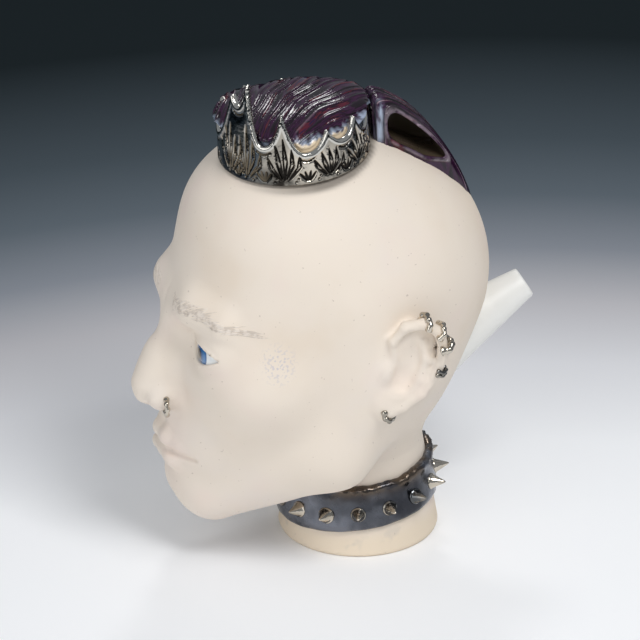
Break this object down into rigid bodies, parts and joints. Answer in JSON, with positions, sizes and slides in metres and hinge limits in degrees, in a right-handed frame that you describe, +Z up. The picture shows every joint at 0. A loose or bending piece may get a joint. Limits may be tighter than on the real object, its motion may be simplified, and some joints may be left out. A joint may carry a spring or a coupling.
{
  "type": "teapot",
  "caption": "Ceramic teapot shaped as a life-like head on a spiked collar: crowned lift-off lid with combed purple hair, crest handle over the back of the head and a spout behind.",
  "frame": {"origin": "centre of the flat foot, on the table", "axes": "the face looks along -Y, +Z is up, the subject's left side is +X"},
  "size_m": [0.1695, 0.2198, 0.2741],
  "materials": {
    "bisque": "matte bisque clay",
    "lid_clay": "satin clear glaze over cream clay",
    "gunmetal_lustre": "dark metallic lustre glaze",
    "silver_lustre": "bright metallic lustre glaze",
    "purple_glaze": "gloss glaze",
    "white_glaze": "satin gloss glaze",
    "eye_glaze": "high gloss glaze"
  },
  "bodies": {
    "pot": {"head_shell": "bisque", "eye_left": "eye_glaze", "eye_right": "eye_glaze", "ear_left": "bisque", "ear_right": "bisque", "spout": "white_glaze", "handle_crest": "purple_glaze", "collar_band": "gunmetal_lustre", "spike_01": "silver_lustre", "spike_02": "silver_lustre", "spike_03": "silver_lustre", "spike_04": "silver_lustre", "spike_05": "silver_lustre", "spike_06": "silver_lustre", "spike_07": "silver_lustre", "spike_08": "silver_lustre", "spike_09": "silver_lustre", "spike_10": "silver_lustre", "spike_11": "silver_lustre", "spike_12": "silver_lustre", "spike_13": "silver_lustre", "spike_14": "silver_lustre", "spike_15": "silver_lustre", "helix_ring_1": "silver_lustre", "helix_ring_2": "silver_lustre", "helix_cuff_3": "silver_lustre", "helix_cuff_4": "silver_lustre", "lobe_ring": "silver_lustre", "nose_ring": "silver_lustre"},
    "lid": {"lid_body": "lid_clay", "crown_band": "silver_lustre", "hair_mound": "purple_glaze"}
  },
  "joints": [
    {"name": "lid_lift", "type": "slide", "parent": "pot", "child": "lid", "axis": [0, -0.0698, 0.9976], "range_m": [0, 0.12]}
  ]
}
